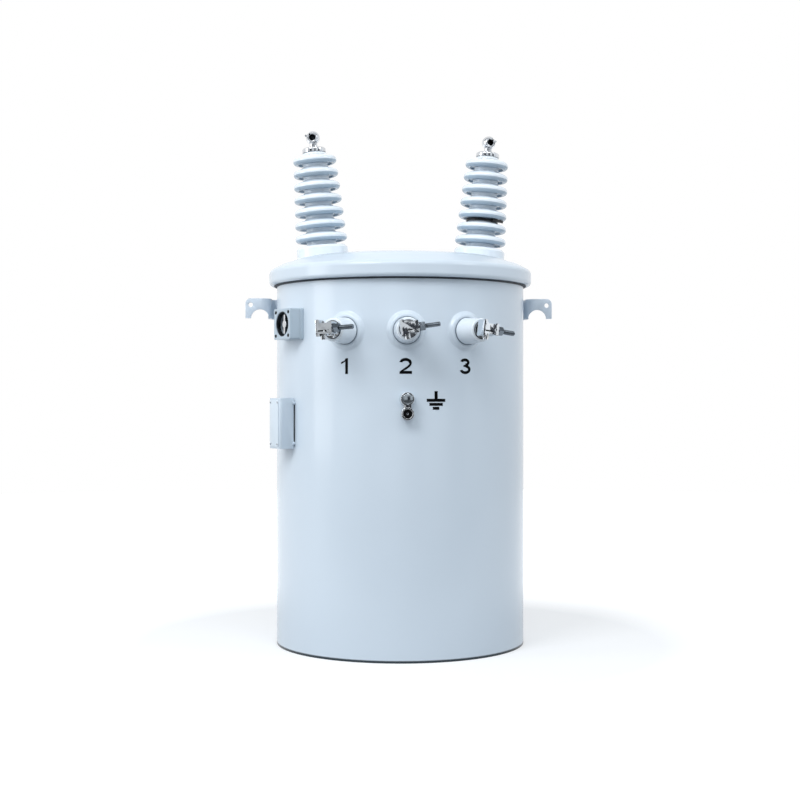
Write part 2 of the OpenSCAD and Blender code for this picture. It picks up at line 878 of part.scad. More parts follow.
tap_lip = 3;
tap_bolt_in = 6;
tap_bolt_d = 5;
tap_bolt_deep = 4;
tap_corner = 3;
tap_strip = 3;
tap_under = 6;

module at_tap() {
    on_wall(tap_angle, tap_z) children();
}

module rounded_plate(w, h, r) {
    difference() {
        square([w, h], center = true);
        for (x = [-1, 1])
            for (y = [-1, 1])
                translate([x * w / 2, y * h / 2])
                    difference() {
                        square(2 * r, center = true);
                        translate([-x * r, -y * r]) circle(r = r);
                    }
    }
}

module tap_changer_housing() {
    color(tank_paint)
        difference() {
            at_tap() outwards() difference() {
                union() {
                    translate([0, 0, -tap_under]) linear_extrude(height = tap_out + tap_under)
                        rounded_plate(tap_w, tap_h, tap_corner);
                    translate([0, 0, -tap_under]) linear_extrude(height = tap_under + tap_lip)
                        rounded_plate(tap_w + 2 * tap_strip, tap_h + 1, tap_corner);
                }
                translate([0, 0, tap_out - tap_well_deep])
                    cylinder(d = tap_well_d, h = tap_well_deep + cut);
                for (x = [-1, 1])
                    for (y = [-1, 1])
                        translate([x * (tap_w / 2 - tap_bolt_in), y * (tap_h / 2 - tap_bolt_in),
                                   tap_out - tap_bolt_deep])
                            cylinder(d = tap_bolt_d, h = tap_bolt_deep + cut);
            }
            tank_space();
        }
}

tap_dial_t = 3;
tap_dial_in = 2;

module tap_changer_dial() {
    color(dark)
        at_tap() outwards()
            translate([0, 0, tap_out - tap_well_deep])
                cylinder(d = tap_well_d - 2 * tap_dial_in, h = tap_dial_t);
}

module tap_changer_handle() {
    hub_d = 12;
    bar_w = 4.6;
    bar_t = 4;
    sunk = 4;
    foot = tap_out - tap_well_deep + tap_dial_t;
    color(tinned)
        at_tap() outwards() {
            translate([0, 0, foot]) cylinder(d = hub_d, h = tap_out - sunk - foot);
            translate([-bar_w / 2, -tap_handle_l / 2, tap_out - sunk - bar_t])
                cube([bar_w, tap_handle_l, bar_t]);
        }
}

// Nameplate bracket: a folded sheet on four short welds

plate_gap = 2.5;
plate_bend = 5;
weld_d = 6;
weld_l = 8;
weld_in = 8;

module at_plate() {
    on_wall(plate_angle, plate_z) children();
}

module bracket_plan() {
    t = plate_sheet_t;
    foot = plate_gap - tank_r + sqrt(pow(tank_r, 2) - pow(plate_w / 2, 2));
    difference() {
        rounded_plate(plate_w, 2 * plate_out, plate_bend);
        rounded_plate(plate_w - 2 * t, 2 * (plate_out - t), plate_bend - t);
        translate([-plate_w, foot - 2 * plate_out])
            square([2 * plate_w, 2 * plate_out]);
    }
}

module nameplate_bracket() {
    color(band_paint) {
        at_plate()
            translate([0, 0, -plate_h / 2])
                mirror([0, 1, 0])
                    linear_extrude(height = plate_h) bracket_plan();
        difference() {
            at_plate()
                for (side = [-1, 1])
                    for (end = [-1, 1])
                        translate([side * (plate_w / 2 - plate_sheet_t / 2), 0,
                                   end * (plate_h / 2 - weld_in)])
                            rotate([90, 0, 0])
                                cylinder(d = weld_d, h = weld_l, center = true);
            tank_space();
        }
    }
}

module nameplate() {
    edge = 3;
    color([0.82, 0.88, 0.92])
        at_plate()
            translate([0, -plate_out, 0])
                rotate([90, 0, 0])
                    linear_extrude(height = nameplate_t)
                        rounded_plate(plate_w - 2 * plate_bend, plate_h - 2 * edge, 2);
}

// Hanger brackets on the pole side: a slotted face on two side plates

module hanger_bracket(z) {
    face = tank_r + hanger_out;
    color(tank_paint)
        difference() {
            translate([0, 0, z - hanger_h / 2])
                linear_extrude(height = hanger_h)
                    difference() {
                        union() {
                            translate([-hanger_w / 2, face - hanger_t]) square([hanger_w, hanger_t]);
                            for (side = [-1, 1])
                                translate([side * (hanger_w / 2 - hanger_t / 2), face / 2])
                                    square([hanger_t, face], center = true);
                        }
                        circle(r = tank_r, $fn = tank_fn);
                        square([hanger_w * 2, tank_r], center = true);
                    }
            for (dz = [-1, 1])
                translate([0, face - hanger_t - cut, z + dz * hanger_slot_l / 2]) rotate([-90, 0, 0])
                    cylinder(d = hanger_slot_w, h = hanger_t + 2 * cut);
            translate([-hanger_slot_w / 2, face - hanger_t - cut, z - hanger_slot_l / 2])
                cube([hanger_slot_w, hanger_t + 2 * cut, hanger_slot_l]);
        }
}

tank_shell();
tank_rim();
tank_base();
cover();
cover_gasket();
cover_band();
cover_band_bolt();
hv_collar(-1);  // hv_collar_left
hv_bushing(-1);  // hv_bushing_left
hv_cap(-1);  // hv_cap_left
hv_terminal(-1);  // hv_terminal_left
hv_clamp_bolt(-1);  // hv_clamp_bolt_left
hv_collar(1);  // hv_collar_right
hv_bushing(1);  // hv_bushing_right
hv_cap(1);  // hv_cap_right
hv_terminal(1);  // hv_terminal_right
hv_clamp_bolt(1);  // hv_clamp_bolt_right
cable_tie();
lv_boss(1);  // lv_boss_1
lv_bushing(1);  // lv_bushing_1
lv_terminal(1);  // lv_terminal_1
lv_clamp_rod(1);  // lv_clamp_rod_1
lv_boss(2);  // lv_boss_2
lv_bushing(2);  // lv_bushing_2
lv_terminal(2);  // lv_terminal_2
lv_clamp_rod(2);  // lv_clamp_rod_2
lv_boss(3);  // lv_boss_3
lv_bushing(3);  // lv_bushing_3
lv_terminal(3);  // lv_terminal_3
lv_clamp_rod(3);  // lv_clamp_rod_3
lifting_lug(-1);  // lifting_lug_left
lifting_lug(1);  // lifting_lug_right
ground_pad();
ground_connector();
ground_bolt();
tap_changer_housing();
tap_changer_dial();
tap_changer_handle();
nameplate_bracket();
nameplate();
hanger_bracket(hanger_z + hanger_pitch);  // hanger_bracket_upper
hanger_bracket(hanger_z);  // hanger_bracket_lower
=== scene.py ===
"""Looks of the pole mounted transformer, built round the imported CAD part.

Shapes are made in millimetres and scaled to metres when their mesh is finished. The
low-voltage front faces -Y and up is +Z. Angles round the tank are in degrees, read from
the front, positive towards +X.
"""

import math

import bmesh
import bpy
from mathutils import Matrix, Vector, geometry


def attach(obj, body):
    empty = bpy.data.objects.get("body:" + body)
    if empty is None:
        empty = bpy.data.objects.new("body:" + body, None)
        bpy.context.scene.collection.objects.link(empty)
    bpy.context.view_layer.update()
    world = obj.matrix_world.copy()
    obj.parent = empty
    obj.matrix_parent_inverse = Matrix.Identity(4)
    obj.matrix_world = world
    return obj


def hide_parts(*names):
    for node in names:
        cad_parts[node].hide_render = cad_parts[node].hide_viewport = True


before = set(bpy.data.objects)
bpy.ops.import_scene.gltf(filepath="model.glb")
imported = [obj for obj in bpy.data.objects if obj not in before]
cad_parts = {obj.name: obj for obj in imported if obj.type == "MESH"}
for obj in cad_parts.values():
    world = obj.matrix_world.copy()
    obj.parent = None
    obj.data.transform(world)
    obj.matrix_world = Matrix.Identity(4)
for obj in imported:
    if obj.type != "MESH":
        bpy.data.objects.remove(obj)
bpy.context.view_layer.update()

# Sizes shared with the CAD part, in millimetres and degrees
TANK_R = 210.0
BAND_SPLIT_ANGLE = 150.0
BAND_BOLT_OUT = 233.0
BAND_BOLT_Z = 615.7
DOME_R = 1569.0
DOME_CENTRE_Z = 659.3 - DOME_R
COVER_TURN = 6.4
HV_OFFSET = 134.8
HV_SHIFT = 2.2
PORCELAIN_TOP = 177.6
CORE_R_LOW = 25.75
CORE_R_TOP = 21.0
SHED_COUNT = 7
SHED_FIRST = 30.2
SHED_PITCH = 21.9
SHED_R_LOW = 43.75
SHED_R_TOP = 36.75
EYE_H = 202.85
EYE_TURN = {-1: -14.0, 1: 10.0}
EYE_TILT = {-1: -38.0, 1: 40.0}
EYE_CLAMP_H = 8.8
LV_Z = 521.0
LV_TURN = 0.5
LV_STEP = 26.8
LV_ROLL = {1: 3.5, 2: 8.0, 3: -7.0}
LV_BODY_L = 47.0
LV_BODY_R = 21.25
LV_BOSS_H = 4.0
LV_ROD_OUT = {1: 71.5, 2: 71.5, 3: 66.0}
GROUND_ANGLE = 0.7
GROUND_Z = 413.5
GROUND_DROP = 23.0
TAP_ANGLE = -58.0
TAP_Z = 535.0
TAP_OUT = 21.6
PLATE_ANGLE = -62.5
PLATE_Z = 374.0
PLATE_OUT = 26.0
LUG_Z = 553.5
HANGER_Z = (160.0, 446.0)

# Working values
MM = 0.001
TINY = 1e-6
MERGE = 1e-4


# Placing

def turn(axis, degrees):
    return Matrix.Rotation(math.radians(degrees), 4, axis)


def move(x, y, z):
    return Matrix.Translation((x, y, z))


OUTWARDS = turn("X", 90)


def on_wall(angle, z):
    """X is sideways right, -Y is outwards and Z is up, from the tank's surface."""
    return turn("Z", angle) @ move(0, -TANK_R, z)


def on_cover(side):
    """+Z is the axis of the left (-1) or right (1) high-voltage bushing."""
    lean = math.degrees(math.asin((side * HV_OFFSET + HV_SHIFT) / DOME_R))
    return (turn("Z", COVER_TURN) @ move(0, 0, DOME_CENTRE_Z) @ turn("Y", lean)
            @ move(0, 0, DOME_R))


def at_eye(side):
    return (on_cover(side) @ move(0, 0, EYE_H) @ turn("Z", EYE_TURN[side])
            @ turn("Y", EYE_TILT[side]))


def at_clamp(i):
    return on_wall(LV_TURN + (i - 2) * LV_STEP, LV_Z) @ turn("Y", -LV_ROLL[i])


# Materials

def linear(rgb):
    """A colour given as 0 to 255 display values, as linear light."""
    return tuple((c / 255 / 12.92) if c <= 10 else ((c / 255 + 0.055) / 1.055) ** 2.4
                 for c in rgb) + (1.0,)


class Nodes:
    """A node tree with helpers that link the usual chains of nodes."""

    def __init__(self, tree):
        self.tree = tree

    def node(self, kind, **settings):
        made = self.tree.nodes.new(kind)
        for key, value in settings.items():
            setattr(made, key, value)
        return made

    def link(self, a, b):
        self.tree.links.new(a, b)

    def ranged(self, value, low, high, out_low, out_high):
        """Takes low to high over to out_low to out_high, and stays within them."""
        made = self.node("ShaderNodeMapRange")
        made.inputs["From Min"].default_value = low
        made.inputs["From Max"].default_value = high
        made.inputs["To Min"].default_value = out_low
        made.inputs["To Max"].default_value = out_high
        self.link(value, made.inputs["Value"])
        return made.outputs["Result"]

    def calc(self, operation, a, b):
        """A Math node on two sockets or numbers, such as MULTIPLY, ADD or MAXIMUM."""
        made = self.node("ShaderNodeMath", operation=operation)
        for socket, value in zip(made.inputs, (a, b)):
            if isinstance(value, float):
                socket.default_value = value
            else:
                self.link(value, socket)
        return made.outputs[0]

    def mixed(self, factor, a, b):
        """Mixes two colours, given as sockets or as tuples."""
        made = self.node("ShaderNodeMix", data_type="RGBA")
        self.link(factor, made.inputs["Factor"])
        for socket, colour in ((made.inputs[6], a), (made.inputs[7], b)):
            if isinstance(colour, tuple):
                socket.default_value = colour
            else:
                self.link(colour, socket)
        return made.outputs[2]

    def either(self, factor, a, b):
        """Mixes two shaders."""
        made = self.node("ShaderNodeMixShader")
        self.link(factor, made.inputs["Fac"])
        self.link(a, made.inputs[1])
        self.link(b, made.inputs[2])
        return made.outputs[0]


class Material(Nodes):
    """A node material round the Principled shader."""

    def __init__(self, name, rough, metallic=0.0, ior=1.5):
        self.data = bpy.data.materials.new(name)
        self.data.use_nodes = True
        super().__init__(self.data.node_tree)
        self.shader = self.tree.nodes["Principled BSDF"]
        self.shader.inputs["Roughness"].default_value = rough
        self.shader.inputs["Metallic"].default_value = metallic
        self.shader.inputs["IOR"].default_value = ior
        self.place = self.node("ShaderNodeTexCoord").outputs["Object"]

    def noise(self, scale, detail):
        """Smooth noise over the object; scale is per metre."""
        made = self.node("ShaderNodeTexNoise")
        made.inputs["Scale"].default_value = scale
        made.inputs["Detail"].default_value = detail
        self.link(self.place, made.inputs["Vector"])
        return made.outputs["Fac"]

    def worn_edges(self, low=0.53, high=0.62, strength=0.6):
        """0 on flat faces, rising to strength along convex edges."""
        edges = self.node("ShaderNodeNewGeometry").outputs["Pointiness"]
        return self.ranged(edges, low, high, 0.0, strength)

    def open_share(self, distance):
        """1 on open faces, falling in recesses narrower than distance in metres."""
        made = self.node("ShaderNodeAmbientOcclusion", samples=6)
        made.inputs["Distance"].default_value = distance
        return made.outputs["AO"]

    def height(self):
        """Height above the foot, in metres."""
        split = self.node("ShaderNodeSeparateXYZ")
        self.link(self.place, split.inputs[0])
        return split.outputs["Z"]

    def colour(self, socket):
        self.link(socket, self.shader.inputs["Base Color"])

    def roughness(self, socket):
        self.link(socket, self.shader.inputs["Roughness"])

    def bump(self, *layers):
        """Layers are (height socket, distance in metres), stacked."""
        normal = None
        for height, distance in layers:
            made = self.node("ShaderNodeBump")
            made.inputs["Distance"].default_value = distance
            self.link(height, made.inputs["Height"])
            if normal:
                self.link(normal, made.inputs["Normal"])
            normal = made.outputs["Normal"]
        self.link(normal, self.shader.inputs["Normal"])


def shade(colour, factor):
    return tuple(min(1.0, c * factor) for c in colour[:3]) + (1.0,)


# Painted shade along the edge that the tank stands on: it fades into the paint between two
# heights, in metres
FOOT_SHADE_Z = (0.0032, 0.0048)
FOOT_SHADE_COLOUR = (36, 48, 56)


def paint(name, rgb, rough=0.24, coat=0.2, edges=True):
    """Gloss enamel: faint clouding and orange peel. Small fittings wear paler at their
    edges; the big sheets get painted shade, dark along the edge they stand on."""
    m = Material(name, rough)
    base = linear(rgb)
    clouds = m.mixed(m.ranged(m.noise(5.0, 3.0), 0.3, 0.7, 0.0, 1.0),
                     shade(base, 0.985), shade(base, 1.012))
    if edges:
        m.colour(m.mixed(m.worn_edges(), clouds, shade(base, 1.12)))
    else:
        # Painted shade: darker towards the foot, in place of the shadow where the tank meets the
        # floor
        painted_foot_shade = m.ranged(m.height(), *FOOT_SHADE_Z, 1.0, 0.0)
        m.colour(m.mixed(painted_foot_shade, clouds, linear(FOOT_SHADE_COLOUR)))
    m.roughness(m.ranged(m.noise(90.0, 2.0), 0.3, 0.7, rough - 0.01, rough + 0.02))
    m.bump((m.noise(260.0, 1.0), 0.00003), (m.noise(900.0, 2.0), 0.000008))
    m.shader.inputs["Specular IOR Level"].default_value = 0.35
    m.shader.inputs["Coat Weight"].default_value = coat
    m.shader.inputs["Coat Roughness"].default_value = 0.07
    return m.data


def glaze(name, rgb, coat, gloss):
    """Glazed porcelain: a glassy coat over a faintly uneven body."""
    m = Material(name, 0.22, ior=1.55)
    base = linear(rgb)
    cool = linear(tuple(c - d for c, d in zip(rgb, (6, 4, 2))))
    body = m.mixed(m.ranged(m.noise(16.0, 3.0), 0.35, 0.7, 0.0, 1.0), base, cool)
    m.colour(body)
    m.roughness(m.ranged(m.noise(60.0, 2.0), 0.3, 0.7, 0.16, 0.26))
    m.bump((m.noise(90.0, 1.0), 0.00006), (m.noise(420.0, 2.0), 0.00001))
    m.shader.inputs["Specular IOR Level"].default_value = gloss
    m.shader.inputs["Coat Weight"].default_value = coat
    m.shader.inputs["Coat Roughness"].default_value = 0.03
    return m.data


def metal(name, rgb, rough, cast):
    """Plated metal: an uneven surface cast metres deep, patches of duller plating, bright
    edges and painted shade that darkens the recesses."""
    m = Material(name, rough, metallic=1.0)
    base = linear(rgb)
    patches = m.mixed(m.ranged(m.noise(70.0, 4.0), 0.38, 0.68, 0.0, 1.0), base,
                      shade(base, 0.82))
    crests = m.mixed(m.worn_edges(0.52, 0.6, 0.7), patches, shade(base, 1.15))
    # Painted shade: the colour falls to about an eighth of the base in narrow recesses, where
    # shade falls
    painted_recess_shade = m.ranged(m.open_share(0.006), 0.35, 0.85, 1.0, 0.0)
    m.colour(m.mixed(painted_recess_shade, crests, shade(base, 0.12)))
    m.roughness(m.ranged(m.noise(130.0, 3.0), 0.3, 0.7, rough * 0.7, rough * 1.5))
    m.bump((m.noise(130.0, 2.0), cast), (m.noise(420.0, 2.0), cast * 0.15))
    return m.data


def plastic(name, rgb, rough, gloss):
    """Moulded plastic, rubber or screen ink: fine grain and a slightly paler bloom."""
    m = Material(name, rough)
    m.shader.inputs["Specular IOR Level"].default_value = gloss
    base = linear(rgb)
    bloom = tuple(c * 1.3 + 0.002 for c in base[:3]) + (1.0,)
    m.colour(m.mixed(m.ranged(m.noise(45.0, 3.0), 0.4, 0.75, 0.0, 1.0), base, bloom))
    m.roughness(m.ranged(m.noise(90.0, 2.0), 0.3, 0.7, rough - 0.06, rough + 0.08))
    m.bump((m.noise(700.0, 3.0), 0.00003))
    return m.data


TANK_PAINT = paint("tank_enamel", (203, 216, 228), edges=False)
FITTING_PAINT = paint("fitting_enamel", (200, 212, 224), rough=0.3, coat=0.3)
BRACKET_PAINT = paint("bracket_enamel", (193, 207, 220), rough=0.34, coat=0.2)
HOUSING_PAINT = paint("housing_enamel", (172, 188, 201), rough=0.34, coat=0.2)
PLATE_PAINT = paint("plate_enamel", (205, 218, 229), rough=0.3, coat=0.2)
WELD_PAINT = paint("weld_enamel", (198, 212, 225), rough=0.3, coat=0.3)
PORCELAIN = glaze("porcelain_glaze", (226, 235, 243), coat=0.6, gloss=0.4)
# Painted shade: a darker, duller copy of the glaze for the sheds' undersides, which face away from
# the light
PORCELAIN_PAINTED_SHADE = glaze("porcelain_underside", (170, 187, 201), coat=0.1, gloss=0.2)
TINNED = metal("tin_plate", (224, 227, 231), 0.10, 0.00014)
CAST = metal("cast_tin_plate", (226, 229, 232), 0.08, 0.0004)
ZINC = metal("zinc_plate", (172, 180, 187), 0.15, 0.00006)
THREADED = metal("threaded_steel", (104, 112, 120), 0.16, 0.00004)
# Dark steel for the tap dial and the well's rim; also painted shade as the saddle web inside the
# high-voltage eyes
DARK_STEEL_AND_SHADE = metal("dark_steel_and_painted_shade", (70, 76, 82), 0.32, 0.00006)
# Gasket rubber; its dark is also painted shade in the bead under the band and the strips by the
# nameplate bracket
RUBBER_AND_SHADE = plastic("gasket_rubber_and_painted_shade", (30, 36, 44), 0.6, gloss=0.3)
# A seal's grey-blue that also paints the shade line round each low-voltage body's foot
SEAL_AND_SHADE = plastic("seal_and_painted_shade", (88, 102, 116), 0.55, gloss=0.3)
# Black nylon for the cable tie; the same black is painted shade in the ground bore and on the tap
# box's corner screws
BLACK_AND_SHADE = plastic("black_nylon_and_painted_shade", (12, 14, 18), 0.34, gloss=0.35)
INK = plastic("black_marking_paint", (3, 4, 6), 0.6, gloss=0.05)

PAINTS = {
    "tank_paint": TANK_PAINT,
    "porcelain": PORCELAIN,
    "tinned": TINNED,
    "zinc": ZINC,
    "gasket": RUBBER_AND_SHADE,
    "black_plastic": BLACK_AND_SHADE,
}


# Shapes

def circle(r, h, steps):
    """Points of a level circle, or its middle alone where the radius is nothing."""
    if r < TINY:
        return [(0, 0, h)]
    return [(r * math.cos(math.tau * k / steps), r * math.sin(math.tau * k / steps), h)
            for k in range(steps)]


def arc(x, y, r, a0, a1, count):
    """Points of an arc, angles in degrees."""
    return [(x + r * math.cos(math.radians(a0 + (a1 - a0) * k / count)),
             y + r * math.sin(math.radians(a0 + (a1 - a0) * k / count)))
            for k in range(count + 1)]


def washer(inner, outer, low, high):
    """Half section of a flat ring."""
    return [(inner, low), (outer, low), (outer, high), (inner, high)]


def round_ring(r, h, thick):
    """Section of a round ring of radius r, its middle at height h."""
    return arc(r, h, thick, 0, 324, 9)


class Shape:
    """A mesh under construction, in millimetres."""

    def __init__(self):
        self.bm = bmesh.new()

    def verts(self, place, points):
        return [self.bm.verts.new(place @ Vector(p)) for p in points]

    def skin(self, rings, closed=False):
        """Faces between rings of points; a ring of one point closes to a tip."""
        pairs = list(zip(rings, rings[1:]))
        if closed:
            pairs.append((rings[-1], rings[0]))
        for a, b in pairs:
            count = max(len(a), len(b))
            for k in range(count):
                n = (k + 1) % count
                corners = [a[k % len(a)], a[n % len(a)], b[n % len(b)], b[k % len(b)]]
                face = list(dict.fromkeys(corners))
                if len(face) > 2:
                    self.bm.faces.new(face)

    def lathe(self, profile, place=Matrix(), steps=96, closed=False):
        """Turns (radius, height) points round +Z."""
        self.skin([self.verts(place, circle(r, h, steps)) for r, h in profile], closed)
        return self

    def prism(self, outline, low, high, place=Matrix()):
        """Stands an outline of (x, y) points up from height low to high."""
        under = self.verts(place, [(x, y, low) for x, y in outline])
        over = self.verts(place, [(x, y, high) for x, y in outline])
        self.skin([under, over])
        self.bm.faces.new(under)
        self.bm.faces.new(over)
        return self

    def nut(self, flats, height, place=Matrix(), bore=0.0):
        """A six-sided nut or bolt head whose corners are turned off at both faces. Each face
        ends in a circle a little inside the flats, and falls away from there."""
        steps = 72
        inner = flats / 2 * 0.96
        slope = 0.55
        lower, upper = [], []
        for k in range(steps):
            a = math.tau * k / steps
            reach = flats / 2 / math.cos((a + math.pi / 6) % (math.pi / 3) - math.pi / 6)
            fall = (reach - inner) * slope
            x, y = reach * math.cos(a), reach * math.sin(a)
            lower.append((x, y, fall))
            upper.append((x, y, height - fall))
        rows = [circle(bore, 0, steps), circle(inner, 0, steps), lower, upper,
                circle(inner, height, steps), circle(bore, height, steps)]
        self.skin([self.verts(place, row) for row in rows], closed=bore > 0)
        return self

    def thread(self, diameter, pitch, length, place=Matrix(), steps=28):
        """A threaded rod from height 0 up. The crests of its thread come to an edge, the
        troughs are flat, and its far end is chamfered."""
        rows_per_turn = 6
        flank = 1.4
        chamfer, chamfer_slope = 0.9, 0.8
        rows = max(2, int(length / pitch * rows_per_turn))
        depth = pitch * 0.32
        rings = [self.verts(place, [(0, 0, 0)])]
        for row in range(rows + 1):
            h = length * row / rows
            ring = []
            for k in range(steps):
                phase = (h / pitch - k / steps) % 1.0
                r = diameter / 2 - depth * min(1.0, flank * abs(2 * phase - 1))
                r = min(r, diameter / 2 - chamfer + chamfer_slope * (length - h))
                a = math.tau * k / steps
                ring.append((r * math.cos(a), r * math.sin(a), h))
            rings.append(self.verts(place, ring))
        rings.append(self.verts(place, [(0, 0, length)]))
        self.skin(rings)
        return self

    def tube(self, path, radius, steps=10, place=Matrix()):
        """A round bead along a path; radius is a number or a function of the step."""
        points = [Vector(p) for p in path]
        side = None
        rings = []
        for k, p in enumerate(points):
            ahead = points[min(k + 1, len(points) - 1)]
            behind = points[max(k - 1, 0)]
            along = (ahead - behind).normalized()
            if side is None:
                side = along.orthogonal().normalized()
            side = (side - along * side.dot(along)).normalized()
            other = along.cross(side)
            r = radius(k) if callable(radius) else radius
            rings.append(self.verts(place, [
                p + (side * math.cos(math.tau * s / steps)
                     + other * math.sin(math.tau * s / steps)) * r for s in range(steps)]))
        self.skin(rings)
        self.bm.faces.new(rings[0])
        self.bm.faces.new(rings[-1])
        return self

    def soften(self, width, segments=2, angle=32.0):
        """Rounds the edges that are sharper than angle."""
        bm = self.bm
        bmesh.ops.remove_doubles(bm, verts=bm.verts, dist=MERGE)
        sharp = [e for e in bm.edges
                 if len(e.link_faces) == 2 and e.calc_face_angle() > math.radians(angle)]
        bmesh.ops.bevel(bm, geom=sharp, offset=width, segments=segments, profile=0.5,
                        affect="EDGES", clamp_overlap=True)
        return self

    def piece(self, name, material, slot, replaces=(), sharp=38.0):
        """Makes the object: metres, smooth but for its sharp edges, riding on the part."""
        bm = self.bm
        bmesh.ops.remove_doubles(bm, verts=bm.verts, dist=MERGE)
        bmesh.ops.recalc_face_normals(bm, faces=bm.faces)
        bmesh.ops.scale(bm, vec=(MM, MM, MM), verts=bm.verts)
        mesh = bpy.data.meshes.new(name)
        bm.to_mesh(mesh)
        bm.free()
        mesh.polygons.foreach_set("use_smooth", [True] * len(mesh.polygons))
        mesh.set_sharp_from_angle(angle=math.radians(sharp))
        mesh.materials.append(material)
        made = bpy.data.objects.new(name, mesh)
        bpy.context.scene.collection.objects.link(made)
        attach(made, "root")
        if replaces:
            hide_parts(*replaces)
        return made


def of_node(node):
    """A shape that starts as a CAD node's own mesh, its flat faces made whole."""
    shape = Shape()
    bm = shape.bm
    bm.from_mesh(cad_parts[node].data)
    bmesh.ops.scale(bm, vec=(1 / MM, 1 / MM, 1 / MM), verts=bm.verts)
    bmesh.ops.remove_doubles(bm, verts=bm.verts, dist=0.002)
    bmesh.ops.dissolve_limit(bm, angle_limit=math.radians(0.15), verts=bm.verts,
                             edges=bm.edges)
    return shape


def rounded(node, width, material, slot, segments=2):
    """Shows a CAD node with its edges rounded."""
    return of_node(node).soften(width, segments).piece(
        node + "_rounded", material, slot, replaces=(node,))


# Carried-over CAD nodes: each takes the material of its slot

for name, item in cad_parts.items():
    kind = item.data.materials[0].name.split(".")[0] if item.data.materials else "tank_paint"
    item.data.materials.clear()
    item.data.materials.append(PAINTS[kind])
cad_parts["tap_changer_dial"].data.materials[0] = DARK_STEEL_AND_SHADE


# CAD nodes shown with their edges rounded, by the width given in millimetres

for name in ("lifting_lug_left", "lifting_lug_right", "hanger_bracket_upper",
             "hanger_bracket_lower"):
    rounded(name, 0.9, FITTING_PAINT, "tank_paint")
rounded("tap_changer_housing", 0.8, HOUSING_PAINT, "tank_paint")
rounded("nameplate_bracket", 0.35, BRACKET_PAINT, "tank_paint")
rounded("nameplate", 0.25, PLATE_PAINT, "tank_paint")
for name in ("hv_cap_left", "hv_cap_right"):
    rounded(name, 0.7, TINNED, "tinned", 3)
for name in ("hv_terminal_left", "hv_terminal_right"):
    rounded(name, 0.35, TINNED, "tinned")
for i in (1, 2, 3):
    rounded(f"lv_terminal_{i}", 0.8, CAST, "tinned", 3)
rounded("ground_connector", 0.7, CAST, "tinned", 3)
rounded("cable_tie", 0.3, BLACK_AND_SHADE, "black_plastic")
rounded("tap_changer_handle", 0.7, TINNED, "tinned", 3)


# Threaded parts: rods and bolts with their washers and nuts

for i in (1, 2, 3):
    along = at_clamp(i) @ move(0, -LV_ROD_OUT[i], 0) @ turn("Y", 90)
    rod = Shape().thread(7.6, 1.25, 39.0, along @ move(0, 0, 8.5))
    rod.lathe(washer(3.9, 7.4, 0, 1.4), along @ move(0, 0, 14.6), 48, True)
    rod.nut(12.92, 8.5, along @ move(0, 0, 16.0), bore=3.5)
    rod.piece(f"lv_rod_thread_{i}", THREADED, "zinc", replaces=(f"lv_clamp_rod_{i}",))

for side, word in ((-1, "left"), (1, "right")):
    across = at_eye(side) @ move(0, 0, EYE_CLAMP_H) @ turn("Y", side * 90)
    bolt = Shape().nut(7.2, 3.0, across @ move(0, 0, 4.6))
    bolt.thread(4.0, 0.7, 11.1, across @ move(0, 0, 4.6) @ turn("Y", 180), steps=20)
    bolt.piece(f"hv_clamp_thread_{word}", ZINC, "zinc", replaces=(f"hv_clamp_bolt_{word}",))

DRAW_BOLT_REACH = 13.0
DRAW_NUT_H = 8.0
across = (turn("Z", BAND_SPLIT_ANGLE) @ move(0, -BAND_BOLT_OUT, BAND_BOLT_Z)
          @ turn("Y", 90))
draw = Shape().nut(16.0, DRAW_NUT_H, across @ move(0, 0, -DRAW_BOLT_REACH - DRAW_NUT_H))
draw.thread(10.0, 1.5, 42.0, across @ move(0, 0, -DRAW_BOLT_REACH))
draw.nut(16.0, DRAW_NUT_H, across @ move(0, 0, DRAW_BOLT_REACH), bore=4.7)
draw.piece("cover_band_draw_bolt", ZINC, "zinc", replaces=("cover_band_bolt",))

out = on_wall(GROUND_ANGLE, GROUND_Z) @ OUTWARDS
GROUND_WASHER_LOW, GROUND_WASHER_TOP = 11.0, 12.6
head = Shape().lathe([(5.0, 0.8), (5.0, GROUND_WASHER_LOW)], out, 48)
head.lathe(washer(4.9, 9.75, GROUND_WASHER_LOW, GROUND_WASHER_TOP), out, 64, True)
head.nut(15.5, 7.0, out @ move(0, 0, GROUND_WASHER_TOP))
head.piece("ground_bolt_head", ZINC, "zinc", replaces=("ground_bolt",))


# Low-voltage bushings: pressed seat in the tank wall, seals under body and washer. The seal under
# the body is also painted shade: its grey-blue draws the shade line round the body's foot

def pressed_seat(place):
    """A soft raised ring that runs out into the round wall. Each row of the section is
    (radius, height, share of the wall's fall that it follows)."""
    section = [(32.5, -0.2, 1.0), (31.6, 0.1, 1.0), (30.4, 0.55, 0.9), (29.2, 1.4, 0.7),
               (28.0, 2.5, 0.4), (26.6, 3.45, 0.15), (25.0, 3.95, 0.0), (23.0, 4.0, 0.0),
               (15.5, 4.0, 0.0), (15.5, 1.0, 0.0), (31.0, -1.2, 1.0)]
    shape = Shape()
    steps = 96
    rings = []
    for r, h, share in section:
        ring = []
        for k in range(steps):
            a = math.tau * k / steps
            fall = TANK_R - math.sqrt(TANK_R ** 2 - (r * math.cos(a)) ** 2)
            ring.append((r * math.cos(a), r * math.sin(a), h - fall * share))
        rings.append(shape.verts(place, ring))
    shape.skin(rings, closed=True)
    return shape


